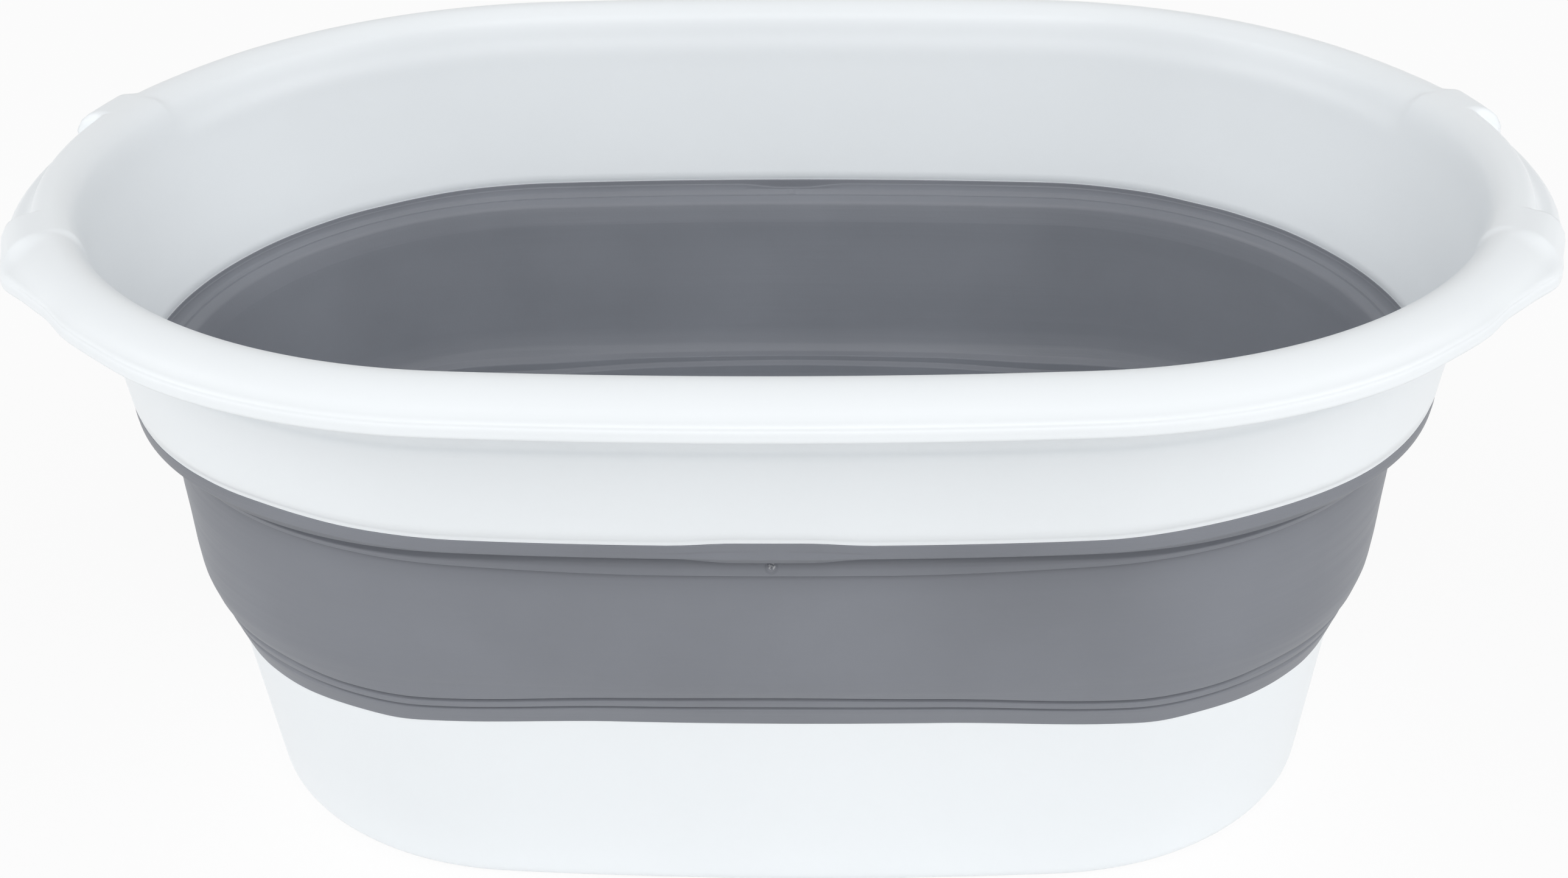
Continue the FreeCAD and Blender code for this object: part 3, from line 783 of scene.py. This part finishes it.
class TUB_OT_base_tub(Operator):
    """Build the hard base with its floor, foot ring and tapered wall"""
    bl_idname = "tub.base_tub"
    bl_label = "Base tub"

    def execute(self, context):
        sizes = context.scene.tub_sizes
        turns = all_turns(PLAIN_STRETCHES)
        wall = rounded(BASE_OUTSIDE + BASE_TONGUE + BASE_INSIDE, HARD_STEP, closed=False)
        shares = np.linspace(1.0, 1.0 / FLOOR_STEPS, FLOOR_STEPS)
        line = np.concatenate([np.repeat(wall[:1], FLOOR_STEPS - 1, 0), wall,
                               np.repeat(wall[-1:], FLOOR_STEPS - 1, 0)])
        spread = np.concatenate([shares[:0:-1], np.ones(len(wall)), shares[1:]])
        rows = np.repeat(line[:, None, :], len(turns), axis=1)
        height = rows[:, :, 1].copy()
        rows[:, :, 1] += lower_seam_lift(sizes, turns, height)
        piece = laid_round("base_shell", sizes, turns, rows, height, False, white_plastic(context.scene.tub_finish),
                           ease(height, *BASE_SWAY), spread=spread)
        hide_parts("base_tub")
        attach(piece, "base")
        return {"FINISHED"}


class TUB_OT_soft_wall(Operator):
    """Build the soft folding wall with its lips, beads and creases"""
    bl_idname = "tub.soft_wall"
    bl_label = "Soft folding wall"

    def execute(self, context):
        sizes = context.scene.tub_sizes
        turns = all_turns(PLAIN_STRETCHES)
        line = rounded(SOFT_OUTER + SOFT_TOP_GROOVE + SOFT_INNER + SOFT_BASE_GROOVE, SOFT_STEP, fine=SOFT_FINE)
        rows = np.repeat(line[:, None, :], len(turns), axis=1)
        height = rows[:, :, 1].copy()
        outside = (np.arange(len(line)) <= np.argmax(line[:, 1]))[:, None]
        further, higher = crease_shift(sizes, turns, height)
        outer = bead_lift(sizes, turns, height) + lip_dip(sizes, turns, rows, OUTER_DIP)
        higher = higher + np.where(outside, outer, lip_dip(sizes, turns, rows, INNER_DIP))
        higher = higher + upper_seam_lift(sizes, turns, height, outside_seam(rows))
        higher = higher + lower_seam_lift(sizes, turns, height)
        rows[:, :, 0] += gate_relief(sizes, turns, rows, outside) + further
        rows[:, :, 1] += higher
        sway = 1 - ease(height, *SOFT_LOW_SWAY) + ease(height, *SOFT_HIGH_SWAY)
        billow = within(height, *BILLOW_BAND)
        piece = laid_round("folding_wall_skin", sizes, turns, rows, height, True,
                           grey_rubber(context.scene.tub_finish), sway, billow)
        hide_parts("lower_wall_lip", "folding_wall", "upper_wall_lip")
        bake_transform(piece)
        return {"FINISHED"}


class TUB_OT_rim_frame(Operator):
    """Build the hard rim with its wall, rolled flange and two handles"""
    bl_idname = "tub.rim_frame"
    bl_label = "Rim frame"

    def execute(self, context):
        sizes = context.scene.tub_sizes
        turns = all_turns(HANDLE_STRETCHES)
        crest, seam = sizes.crest_height / MM, sizes.seam_height / MM
        sections = [[(reach, crest - drop) for reach, drop in section]
                    for section in (FLANGE_ROWS, EAR_ROWS, BAR_ROWS)]
        under = []
        for section in sections:
            followed = [RIM_INSIDE[-1]] + [section[row] for row in UNDERSIDE_ROWS]
            moved = beside(followed, sizes.rim_wall / MM)[1:]
            moved[-1] = (section[-1][0] - LIP_FOOT, section[-1][1])
            under.append(moved)
        upper_rows = handle_rows(sizes, turns, sections, range(len(FLANGE_ROWS)))
        under_rows = handle_rows(sizes, turns, under, UNDERSIDE_ROWS)

        def plain(points):
            return np.broadcast_to(np.array(points)[:, None, :2], (len(points), len(turns), 2))

        top = spline_rows(np.concatenate([plain(RIM_INSIDE), upper_rows]),
                          INSIDE_PIECES + [FLANGE_PIECES] * (len(FLANGE_ROWS) - 1))
        below = spline_rows(np.concatenate([under_rows[::-1], plain([UNDERSIDE_END])]),
                            [UNDERSIDE_PIECES] * (len(UNDERSIDE_ROWS) - 1) + [UNDERSIDE_END_PIECES])
        foot = plain(rounded(RIM_OUTSIDE, HARD_STEP, closed=False))
        rows = np.concatenate([top, below, foot])[::-1]
        height = rows[:, :, 1].copy()
        rows[:, :, 1] += upper_seam_lift(sizes, turns, height, outside_seam(rows))
        flange_foot = crest - FLANGE_ROWS[0][1]
        reached = np.clip((height - seam) / (flange_foot - seam), 0.0, 1.0)
        level = seam + (crest - seam) * reached
        piece = laid_round("rim_shell", sizes, turns, rows, level, True, white_plastic(context.scene.tub_finish),
                           1 - ease(height, *RIM_SWAY))
        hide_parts("rim_frame")
        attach(piece, "rim")
        return {"FINISHED"}


class TUB_OT_stage(Operator):
    """Set the floor, the lamps, the sky and the camera"""
    bl_idname = "tub.stage"
    bl_label = "Stage"

    def execute(self, context):
        scene = context.scene
        stage = scene.tub_stage
        scene.view_settings.view_transform = "Standard"
        self.light_sky(scene, stage)
        self.lay_floor(scene, stage)
        self.hang_lamp(scene, "front_lamp", FRONT_LAMP_PLACE, stage.front_lamp)
        across, *rest = SIDE_LAMP_PLACE
        self.hang_lamp(scene, "left_lamp", (-across, *rest), stage.side_lamp)
        self.hang_lamp(scene, "right_lamp", (across, *rest), stage.side_lamp)
        self.set_camera(scene, stage)
        return {"FINISHED"}

    def seen_rays(self, tree):
        """1 for rays that show the background itself, straight or in a reflection."""
        rays = tree.nodes.new("ShaderNodeLightPath")
        seen = Wire(tree, rays.outputs["Is Camera Ray"]).math("MAXIMUM", rays.outputs["Is Glossy Ray"])
        return seen.math("MAXIMUM", rays.outputs["Is Transmission Ray"])

    def mix_seen(self, tree, share, lit, shown, output):
        """Mix what gives light with what is seen, by a share, and lead the mix out."""
        mix = tree.nodes.new("ShaderNodeMixShader")
        for place, value in zip(mix.inputs, (share, lit.outputs[0], shown.outputs[0])):
            plug(tree, value, place)
        tree.links.new(mix.outputs[0], tree.nodes.new(output).inputs["Surface"])

    def light_sky(self, scene, stage):
        """Even grey light from all round, seen as pure white."""
        world = bpy.data.worlds.new("studio")
        world.use_nodes = True
        tree = world.node_tree
        tree.nodes.clear()
        lit = added(tree, "ShaderNodeBackground", {"Color": PURE_WHITE, "Strength": stage.sky})
        shown = added(tree, "ShaderNodeBackground", {"Color": PURE_WHITE, "Strength": 1.0})
        self.mix_seen(tree, self.seen_rays(tree), lit, shown, "ShaderNodeOutputWorld")
        scene.world = world

    def lay_floor(self, scene, stage):
        """A wide paper floor that is seen nearly white."""
        corners = [(across * FLOOR_HALF, along * FLOOR_HALF, 0.0)
                   for across, along in ((-1, -1), (1, -1), (1, 1), (-1, 1))]
        mesh = bpy.data.meshes.new("studio_floor")
        mesh.from_pydata(corners, [], [(0, 1, 2, 3)])
        floor = bpy.data.objects.new("studio_floor", mesh)
        scene.collection.objects.link(floor)
        material = bpy.data.materials.new("studio_floor")
        material.use_nodes = True
        tree = material.node_tree
        tree.nodes.clear()
        paper = added(tree, "ShaderNodeBsdfDiffuse", {"Color": tuple(stage.floor)})
        white = added(tree, "ShaderNodeEmission", {"Color": PURE_WHITE, "Strength": 1.0})
        self.mix_seen(tree, self.seen_rays(tree) * FLOOR_SHOWN, paper, white, "ShaderNodeOutputMaterial")
        mesh.materials.append(material)

    def hang_lamp(self, scene, name, place, power):
        """A square soft lamp that faces the tub."""
        lamp = bpy.data.lights.new(name, "AREA")
        lamp.shape = "RECTANGLE"
        lamp.size = lamp.size_y = LAMP_SIZE
        lamp.energy = power
        hung = bpy.data.objects.new(name, lamp)
        hung.location = place
        hung.rotation_euler = (Vector(LAMP_AIM) - Vector(place)).to_track_quat("-Z", "Y").to_euler()
        scene.collection.objects.link(hung)

    def set_camera(self, scene, stage):
        """The camera that was fitted to the photograph."""
        camera = bpy.data.cameras.new("photo_camera")
        camera.sensor_fit = "HORIZONTAL"
        camera.sensor_width = SENSOR_WIDTH
        camera.lens = stage.lens
        camera.clip_start, camera.clip_end = NEAREST_SEEN, FARTHEST_SEEN
        holder = bpy.data.objects.new("photo_camera", camera)
        back = Vector((math.sin(stage.azimuth) * math.cos(stage.elevation),
                       -math.cos(stage.azimuth) * math.cos(stage.elevation), math.sin(stage.elevation)))
        holder.location = Vector(stage.aim) + back * stage.distance
        holder.rotation_mode = "QUATERNION"
        holder.rotation_quaternion = (-back).to_track_quat("-Z", "Y") @ Quaternion((0.0, 0.0, 1.0), stage.roll)
        scene.collection.objects.link(holder)
        scene.camera = holder


class TUB_PT_tub(Panel):
    """Sizes, finishes and building steps of the tub"""
    bl_idname = "TUB_PT_tub"
    bl_label = "Wash tub"
    bl_space_type = "VIEW_3D"
    bl_region_type = "UI"
    bl_category = "Wash tub"

    def draw(self, context):
        layout = self.layout
        for group in (context.scene.tub_sizes, context.scene.tub_finish, context.scene.tub_stage):
            box = layout.box()
            for name in group.__annotations__:
                box.prop(group, name)
        for step in STEPS:
            layout.operator(step.bl_idname)


GROUPS = {"tub_sizes": TubSizes, "tub_finish": TubFinish, "tub_stage": TubStage}
STEPS = [TUB_OT_base_tub, TUB_OT_soft_wall, TUB_OT_rim_frame, TUB_OT_stage]


def register():
    for name, group in GROUPS.items():
        bpy.utils.register_class(group)
        setattr(bpy.types.Scene, name, PointerProperty(type=group))
    for step in STEPS:
        bpy.utils.register_class(step)
    bpy.utils.register_class(TUB_PT_tub)


def unregister():
    bpy.utils.unregister_class(TUB_PT_tub)
    for step in reversed(STEPS):
        bpy.utils.unregister_class(step)
    for name, group in reversed(GROUPS.items()):
        delattr(bpy.types.Scene, name)
        bpy.utils.unregister_class(group)


def main():
    register()
    bpy.ops.tub.base_tub()
    bpy.ops.tub.soft_wall()
    bpy.ops.tub.rim_frame()
    bpy.ops.tub.stage()


if __name__ == "__main__":
    main()
